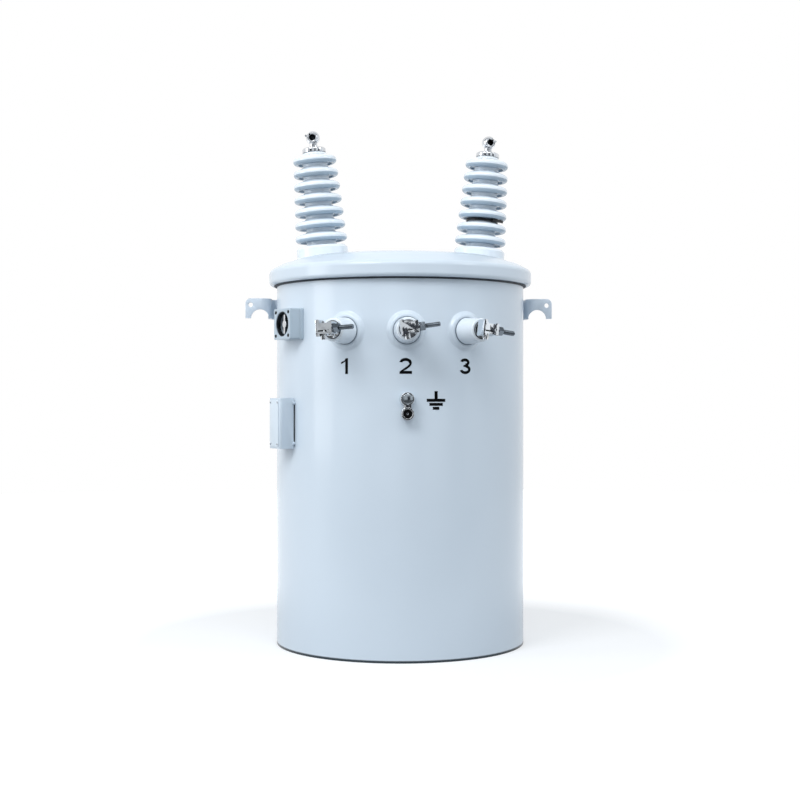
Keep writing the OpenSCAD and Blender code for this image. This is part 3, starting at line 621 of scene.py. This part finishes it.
for i in (1, 2, 3):
    out = on_wall(LV_TURN + (i - 2) * LV_STEP, LV_Z) @ OUTWARDS
    pressed_seat(out).piece(f"lv_seat_{i}", TANK_PAINT, "tank_paint", (f"lv_boss_{i}",))
    # The seal under the body: a real seal whose grey-blue also paints the shade line round the
    # body's foot
    ring = round_ring(LV_BODY_R - 0.2, LV_BOSS_H + 0.8, 1.1)
    Shape().lathe(ring, out, 96, True).piece(f"lv_seal_shade_{i}", SEAL_AND_SHADE, "gasket")
    ring = round_ring(13.6, LV_BODY_L + 0.5, 0.9)
    Shape().lathe(ring, out, 64, True).piece(f"lv_washer_seal_{i}", RUBBER_AND_SHADE, "gasket")


# High-voltage porcelain: each shed has a rounded lip round a hollow underside

LIP_R = 6.0
SHOULDER_R = 5.5
PAINTED_SHADE_FROM = 0.22


def core_radius(h):
    """Radius of the tapering core at a height."""
    top = SHED_FIRST + SHED_PITCH * (SHED_COUNT - 1)
    return CORE_R_LOW + (CORE_R_TOP - CORE_R_LOW) * min(1.0, max(0.0, h / top))


def shed_section(i):
    """Half section of one shed, from below, as (radius, height)."""
    h = SHED_FIRST + SHED_PITCH * i
    r = SHED_R_LOW + (SHED_R_TOP - SHED_R_LOW) * i / (SHED_COUNT - 1)
    k = core_radius(h)
    w = r - k
    under = [(core_radius(h - 5.5), h - 5.5), (k + 0.3, h - 3.6), (k + w * 0.1, h - 2.0),
             (k + w * 0.3, h - 1.3), (k + w * 0.48, h - 1.5), (k + w * 0.56, h - 2.5)]
    lip = arc(r - LIP_R, h + 2.0, LIP_R, -112, 0, 12)
    over = arc(r - SHOULDER_R, h + 3.0, SHOULDER_R, 0, 64, 8)
    root = [(k + 3, h + 11), (k + 1.2, h + 12.2), (core_radius(h + 13.5), h + 13.5)]
    return under + lip + over + root


section = [(0, 0.5), (CORE_R_LOW, 0.5)]
for i in range(SHED_COUNT):
    section += shed_section(i)
cap_seat_r = CORE_R_TOP - 1.5
section += [(cap_seat_r, PORCELAIN_TOP - 1.2), (cap_seat_r - 0.4, PORCELAIN_TOP - 0.4),
            (cap_seat_r - 1.2, PORCELAIN_TOP), (0, PORCELAIN_TOP)]
for side, word in ((-1, "left"), (1, "right")):
    made = Shape().lathe(section, on_cover(side), 128).piece(
        f"hv_porcelain_{word}", PORCELAIN, "porcelain", replaces=(f"hv_bushing_{word}",))
    # Faces that look down take the darker copy of the glaze: painted shade on the undersides of
    # the sheds
    made.data.materials.append(PORCELAIN_PAINTED_SHADE)
    down = on_cover(side).to_3x3() @ Vector((0, 0, -1))
    for face in made.data.polygons:
        if face.normal.dot(down) > PAINTED_SHADE_FROM:
            face.material_index = 1


# High-voltage eyes: a dark saddle web half way through each bore holds the lead. Its dark steel is
# also painted shade, so the bore reads dark inside and not open

for side, word in ((-1, "left"), (1, "right")):
    through = at_eye(side) @ OUTWARDS
    shade_web = [(5.4, -7.8), (5.4, 7.8), (4.9, 7.8), (4.7, -1.5), (2.6, -1.8), (2.2, -0.9), (0, -0.7)]
    Shape().lathe(shade_web + [(0, -3.6), (4.7, -3.6), (4.9, -7.8), (5.4, -7.8)], through, 48).piece(
        f"hv_saddle_shade_{word}", DARK_STEEL_AND_SHADE, "zinc")


# Rubber bead that closes the gap between the band's lower lip and the tank. Its dark rubber is
# also painted shade, in place of the shadow in that gap

shadow_bead_line = [(210.1, 605.0), (210.1, 603.0), (210.9, 602.5), (212.0, 602.8), (214.6, 604.4),
             (214.6, 605.0)]
Shape().lathe(shadow_bead_line, steps=240, closed=True).piece("band_shadow_bead", RUBBER_AND_SHADE, "gasket")


# Ground connector: a black lining in the bore is painted shade for its dark inside, with a bright
# screw tip behind it

bore = on_wall(GROUND_ANGLE, GROUND_Z - GROUND_DROP) @ OUTWARDS
bore_shade = Shape().lathe([(7.15, 1.0), (7.15, 14.6), (6.75, 15.2), (6.75, 1.8), (0, 1.8)], bore, 64)
bore_shade.piece("ground_bore_shade", BLACK_AND_SHADE, "black_plastic")
tip = Shape().lathe([(2.6, 1.7), (2.6, 11.6), (1.9, 12.3), (1.2, 12.3), (0.9, 11.5), (0, 11.5)],
                    bore, 32)
tip.piece("ground_screw_tip", TINNED, "tinned")


# Tap changer: rim inside the well, screws in the corners and tick marks on the dial

face = on_wall(TAP_ANGLE, TAP_Z) @ OUTWARDS
rim = [(20.2, TAP_OUT - 8.0), (20.2, TAP_OUT - 1.2), (19.6, TAP_OUT - 0.6),
       (19.0, TAP_OUT - 1.2), (18.4, TAP_OUT - 8.0)]
Shape().lathe(rim, face, 96, True).piece("tap_well_rim", DARK_STEEL_AND_SHADE, "zinc")
TAP_SCREW_X, TAP_SCREW_Y = 20.0, 19.0
# The corner screws are black: painted shade for the dark holes they sit down in
for x in (-TAP_SCREW_X, TAP_SCREW_X):
    for y in (-TAP_SCREW_Y, TAP_SCREW_Y):
        screw = Shape().lathe([(0, 17.7), (2.45, 17.7), (2.9, TAP_OUT + 0.15),
                               (2.2, TAP_OUT + 0.15), (1.9, 19.6), (1.1, 19.6), (1.0, 18.6),
                               (0, 18.6)], face @ move(x, y, 0), 32)
        screw.piece(f"tap_screw_{'l' if x < 0 else 'r'}{'d' if y < 0 else 'u'}", BLACK_AND_SHADE,
                    "black_plastic")
ticks = Shape()
for k in range(6):
    spoke = face @ turn("Z", 40.0 + 20.0 * k) @ move(0, 0, TAP_OUT - 11.0)
    ticks.prism([(-0.5, 12.5), (0.5, 12.5), (0.5, 16.5), (-0.5, 16.5)], -0.1, 0.25, spoke)
ticks.piece("tap_dial_ticks", TINNED, "tinned")


# Nameplate: left bare and held by four rivets. Dark strips close the bracket's gap to the
# tank; their dark is painted shade, in place of the shadow in that gap.

RIVET_X, RIVET_Z = 13.0, 34.0
STRIP_X, STRIP_R, STRIP_HALF = 20.2, 1.2, 36
plate = on_wall(PLATE_ANGLE, PLATE_Z) @ OUTWARDS
rivets = Shape()
for x in (-RIVET_X, RIVET_X):
    for y in (-RIVET_Z, RIVET_Z):
        rivets.lathe([(2.1, 0.9), (2.1, 1.2), (1.8, 1.75), (1.1, 2.1), (0, 2.2)],
                     plate @ move(x, y, PLATE_OUT), 24)
rivets.piece("nameplate_rivets", ZINC, "zinc")
shade_strips = Shape()
side_wall = on_wall(PLATE_ANGLE, PLATE_Z)
for x in (-STRIP_X, STRIP_X):
    line = [(x, -0.2, z) for z in range(-STRIP_HALF, STRIP_HALF + 1, 4)]
    shade_strips.tube(line, STRIP_R, place=side_wall)
shade_strips.piece("bracket_gap_shade", RUBBER_AND_SHADE, "gasket")


# Welds

LUG_ROOT_Y = 91.0
LUG_WELD_TURNS = (-1.7, 0.1)
HANGER_WELD_X = (36.5, 47.0)
HANGER_WELD_HALF = 38
SEAM_ANGLE = 205
SEAM_LOW, SEAM_TOP = 14, 603


def bead(r, ripple=0.12):
    """The radius of a weld at each step along it, with two uneven ripples."""
    return lambda k: r * (1.0 + ripple * math.sin(k * 1.9) + ripple * 0.5 * math.sin(k * 0.7))


def straight(a, b, step=1.6):
    """Points from a to b, about a step apart."""
    a, b = Vector(a), Vector(b)
    count = max(2, int((b - a).length / step))
    return [a + (b - a) * k / count for k in range(count + 1)]


def wall_point(angle, z, out=0.0):
    """A point on the tank's surface, or out millimetres off it."""
    a = math.radians(angle)
    r = TANK_R + out
    return (r * math.sin(a), -r * math.cos(a), z)


welds = Shape()
for side in (-1, 1):
    root = math.degrees(math.asin(LUG_ROOT_Y / TANK_R)) + 90
    for aside in LUG_WELD_TURNS:
        angle = side * (root + aside)
        welds.tube(straight(wall_point(angle, LUG_Z + 1), wall_point(angle, LUG_Z + 35.5)),
                   bead(2.0))
for z in HANGER_Z:
    for side in (-1, 1):
        for x in HANGER_WELD_X:
            angle = 180 - side * math.degrees(math.asin(x / TANK_R))
            welds.tube(straight(wall_point(angle, z - HANGER_WELD_HALF),
                                wall_point(angle, z + HANGER_WELD_HALF)), bead(2.6))
welds.piece("bracket_welds", WELD_PAINT, "tank_paint")

seam = Shape()
seam.tube(straight(wall_point(SEAM_ANGLE, SEAM_LOW), wall_point(SEAM_ANGLE, SEAM_TOP), 2.2),
          bead(1.7, 0.1), steps=12)
seam.piece("tank_seam_weld", WELD_PAINT, "tank_paint")


# Plain marks painted on the tank: numbers under the terminals and the sign for earth by
# the ground connector. Each glyph is one or more outlines in a box one unit wide and one
# unit high; s and t are the stroke's width as a share of the box's width and height.

STROKE = 4.6
NUMBER_LOW, NUMBER_H = 453.0, 24.8
PAINT_OUT, PAINT_IN = 0.22, 0.15


def bowl(x, y, rx, ry, a0, a1, sx, sy, count=18):
    """A curved stroke: the band between two ellipses."""
    outer, inner = [], []
    for k in range(count + 1):
        a = math.radians(a0 + (a1 - a0) * k / count)
        outer.append((x + rx * math.cos(a), y + ry * math.sin(a)))
        inner.append((x + (rx - sx) * math.cos(a), y + (ry - sy) * math.sin(a)))
    return outer + inner[::-1]


def glyph_1(s, _t):
    return [[(1 - s, 0), (1, 0), (1, 1), (1 - s * 0.75, 1), (1 - s, 0.97)],
            [(1 - s * 0.75, 1), (0.52, 0.86), (0, 0.755), (0, 0.635), (0.30, 0.70),
             (1 - s, 0.80), (1 - s * 0.3, 0.93)]]


def glyph_2(s, t):
    slope = [(0.985, 0.66), (0.93, 0.54), (0.80, 0.42), (0.56, 0.28), (0.33, t), (0.02, 0.0),
             (0.03, t * 0.7), (0.16, 0.22), (0.42, 0.37), (0.66, 0.50), (0.78, 0.60), (0.82, 0.69)]
    return [bowl(0.50, 0.705, 0.485, 0.295, 172, -14, s, t), slope,
            [(0.02, 0), (1, 0), (1, t), (0.14, t)]]


def glyph_3(s, t):
    return [bowl(0.475, 0.745, 0.43, 0.255, 165, -82, s, t), [(0.34, 0.46), (0.60, 0.46),
            (0.56, 0.585), (0.34, 0.585)], bowl(0.50, 0.30, 0.50, 0.30, 84, -168, s, t)]


def glyph_bar(_s, _t):
    return [[(0, 0), (1, 0), (1, 1), (0, 1)]]


def inside(point, outline):
    """Whether a point lies inside an outline."""
    x, y = point
    odd = False
    for (x0, y0), (x1, y1) in zip(outline, outline[1:] + outline[:1]):
        if (y0 > y) != (y1 > y) and x < x0 + (x1 - x0) * (y - y0) / (y1 - y0):
            odd = not odd
    return odd


def mark(name, glyphs):
    """Lays glyphs (shape, left, low, width, height in mm round the wall) on the tank. Their
    faces are cut into columns so that they follow the round wall."""
    outlines = []
    for draw_glyph, left, low, width, height in glyphs:
        for outline in draw_glyph(STROKE / width, STROKE / height):
            outlines.append([(left + x * width, low + y * height) for x, y in outline])
    points, edges = [], []
    for outline in outlines:
        first = len(points)
        points += outline
        edges += [(first + k, first + (k + 1) % len(outline)) for k in range(len(outline))]
    low_z = min(p[1] for p in points) - 1
    high_z = max(p[1] for p in points) + 1
    column, column_step = math.ceil(min(p[0] for p in points)), 3
    while column < max(p[0] for p in points):
        edges.append((len(points), len(points) + 1))
        points += [(column, low_z), (column, high_z)]
        column += column_step
    flat = geometry.delaunay_2d_cdt([Vector(p) for p in points], edges, [], 0, MERGE, False)
    shape = Shape()
    tops = [shape.bm.verts.new(wall_point(math.degrees(p.x / TANK_R), p.y, PAINT_OUT))
            for p in flat[0]]
    for tri in flat[2]:
        middle = sum((flat[0][k] for k in tri), Vector((0, 0))) / len(tri)
        if any(inside(middle, outline) for outline in outlines):
            shape.bm.faces.new([tops[k] for k in tri])
    loose = [v for v in shape.bm.verts if not v.link_faces]
    bmesh.ops.delete(shape.bm, geom=loose, context="VERTS")
    rim_edges = [e for e in shape.bm.edges if len(e.link_faces) == 1]
    skirt = bmesh.ops.extrude_edge_only(shape.bm, edges=rim_edges)["geom"]
    for v in skirt:
        if isinstance(v, bmesh.types.BMVert):
            v.co.x *= (TANK_R - PAINT_IN) / (TANK_R + PAINT_OUT)
            v.co.y *= (TANK_R - PAINT_IN) / (TANK_R + PAINT_OUT)
    shape.piece(name, INK, "black_plastic", sharp=50.0)


for name, glyph, left, width in (("mark_1", glyph_1, -105.0, 12.0),
                                 ("mark_2", glyph_2, -10.0, 20.0),
                                 ("mark_3", glyph_3, 89.0, 20.0)):
    mark(name, [(glyph, left, NUMBER_LOW, width, NUMBER_H)])
mark("mark_earth", [
    (glyph_bar, 46.0, 412.4, 5.1, 13.6), (glyph_bar, 33.4, 409.3, 30.4, 4.7),
    (glyph_bar, 37.7, 403.0, 21.8, 4.6), (glyph_bar, 43.2, 396.8, 10.6, 4.6)])


# Floor, light and camera

PALE = (0.38, 0.40, 0.42, 1)
WHITE = (1, 1, 1, 1)


def area_light(name, place, aim, width, height, radiance):
    """A rectangular lamp that faces aim; radiance 1 looks white."""
    lamp = bpy.data.lights.new(name, "AREA")
    lamp.shape = "RECTANGLE"
    lamp.size = width
    lamp.size_y = height
    lamp.energy = radiance * math.pi * width * height
    made = bpy.data.objects.new(name, lamp)
    bpy.context.scene.collection.objects.link(made)
    made.location = place
    made.rotation_euler = (Vector(aim) - Vector(place)).to_track_quat("-Z", "Y").to_euler()


area_light("strip_left", (-2.15, -0.62, 1.0), (0, 0, 0.4), 0.85, 1.6, 3.3)
area_light("key_high_left", (-1.5, -2.1, 2.6), (0, 0, 0.45), 1.3, 1.3, 8.6)
area_light("fill_high_front", (0.4, -2.4, 3.2), (0, 0, 0.4), 2.0, 1.2, 4.4)
area_light("fill_high_right", (2.0, -1.15, 2.0), (0, 0, 0.45), 0.8, 0.8, 4.2)


def seen_rays(nodes):
    """Two sockets: 1 for rays from the camera, and 1 for mirrored or refracted rays."""
    rays = nodes.node("ShaderNodeLightPath").outputs
    return rays["Is Camera Ray"], nodes.calc("MAXIMUM", rays["Is Glossy Ray"],
                                            rays["Is Transmission Ray"])


def studio_world():
    """A room that is pale round the object, white behind it and dimmer overhead. The camera
    sees plain white. Dark upright panels round the front show only in mirrored rays."""
    world = bpy.data.worlds.new("studio")
    bpy.context.scene.world = world
    world.use_nodes = True
    world.node_tree.nodes.clear()
    w = Nodes(world.node_tree)
    way = w.node("ShaderNodeTexCoord").outputs["Generated"]
    split = w.node("ShaderNodeSeparateXYZ")
    w.link(way, split.inputs[0])
    level = w.node("ShaderNodeVectorMath", operation="MULTIPLY")
    level.inputs[1].default_value = (1, 1, 0)
    w.link(way, level.inputs[0])
    flat = w.node("ShaderNodeVectorMath", operation="NORMALIZE")
    w.link(level.outputs[0], flat.inputs[0])
    ahead = w.node("ShaderNodeVectorMath", operation="DOT_PRODUCT")
    ahead.inputs[1].default_value = (0, -1, 0)
    w.link(flat.outputs[0], ahead.inputs[0])
    front = ahead.outputs["Value"]

    walls = w.mixed(w.ranged(split.outputs["X"], -0.9, 0.9, 0.0, 1.0),
                    (0.52, 0.54, 0.56, 1), (0.90, 0.94, 0.98, 1))
    backed = w.ranged(front, 0.1, -0.4, 0.0, 1.0)
    walls = w.mixed(backed, walls, WHITE)
    room = w.mixed(w.ranged(split.outputs["Z"], 0.40, 0.75, 0.0, 1.0), walls, PALE)
    camera_ray, mirrored = seen_rays(w)
    toward = w.calc("MULTIPLY", split.outputs["Y"], -1.0)
    around = w.calc("ARCTAN2", split.outputs["X"], toward)
    panels_round = 9.0
    wave = w.calc("SINE", w.calc("MULTIPLY", around, panels_round), 0.0)
    low = w.ranged(split.outputs["Z"], 0.25, 0.35, 1.0, 0.0)
    panels = w.calc("MULTIPLY", w.ranged(wave, 0.15, 0.35, 0.0, 1.0), low)
    panels = w.calc("MULTIPLY", panels, w.ranged(front, 0.05, 0.25, 0.0, 1.0))
    room = w.mixed(w.calc("MULTIPLY", panels, mirrored), room, (0.04, 0.045, 0.055, 1))

    studio = w.node("ShaderNodeBackground")
    w.link(room, studio.inputs["Color"])
    white = w.node("ShaderNodeBackground")
    white.inputs["Color"].default_value = WHITE
    shown = w.calc("MAXIMUM", camera_ray, w.calc("MULTIPLY", mirrored, backed))
    sky = w.node("ShaderNodeOutputWorld")
    w.link(w.either(shown, studio.outputs[0], white.outputs[0]), sky.inputs["Surface"])


def studio_floor(radius=4.0, steps=128):
    """A round floor that takes the object's shadow. The camera sees it pale near the object
    and white further out. For every other ray its front end is dark."""
    mesh = bpy.data.meshes.new("floor")
    mesh.from_pydata(circle(radius, 0, steps), [], [tuple(range(steps))])
    floor = bpy.data.objects.new("floor", mesh)
    bpy.context.scene.collection.objects.link(floor)
    made = bpy.data.materials.new("studio_floor")
    made.use_nodes = True
    made.node_tree.nodes.clear()
    m = Nodes(made.node_tree)
    place = m.node("ShaderNodeTexCoord").outputs["Object"]
    split = m.node("ShaderNodeSeparateXYZ")
    m.link(place, split.inputs[0])
    lit_end = m.ranged(split.outputs["Y"], -1.15, -0.5, 0.0, 1.0)
    seen_body = m.node("ShaderNodeBsdfDiffuse")
    seen_body.inputs["Color"].default_value = (0.50, 0.52, 0.54, 1)
    body = m.node("ShaderNodeBsdfDiffuse")
    m.link(m.mixed(lit_end, (0.10, 0.105, 0.11, 1), PALE), body.inputs["Color"])
    far = m.node("ShaderNodeVectorMath", operation="LENGTH")
    m.link(place, far.inputs[0])
    glow = m.ranged(far.outputs["Value"], 0.44, 0.85, 0.45, 1.0)
    camera_ray, mirrored = seen_rays(m)
    shown = m.calc("MAXIMUM", camera_ray, m.calc("MULTIPLY", mirrored, lit_end))
    lamp = m.node("ShaderNodeEmission")
    m.link(m.calc("MULTIPLY", glow, shown), lamp.inputs["Strength"])
    both = m.node("ShaderNodeAddShader")
    m.link(m.either(camera_ray, body.outputs[0], seen_body.outputs[0]), both.inputs[0])
    m.link(lamp.outputs[0], both.inputs[1])
    done = m.node("ShaderNodeOutputMaterial")
    m.link(both.outputs[0], done.inputs["Surface"])
    mesh.materials.append(made)


studio_world()
studio_floor()

# The camera was fitted to the ellipses of the tank's rim and band in the photograph
lens = bpy.data.cameras.new("camera")
lens.sensor_width = 36.0
lens.lens = 63.5
lens.shift_x = -0.00025
lens.shift_y = -0.0025
camera = bpy.data.objects.new("camera", lens)
camera.location = (-0.0969, -2.4131, 0.4152)
camera.rotation_euler = (math.radians(90), 0, math.radians(-2.3))
bpy.context.scene.collection.objects.link(camera)
bpy.context.scene.camera = camera
bpy.context.scene.view_settings.view_transform = "Standard"
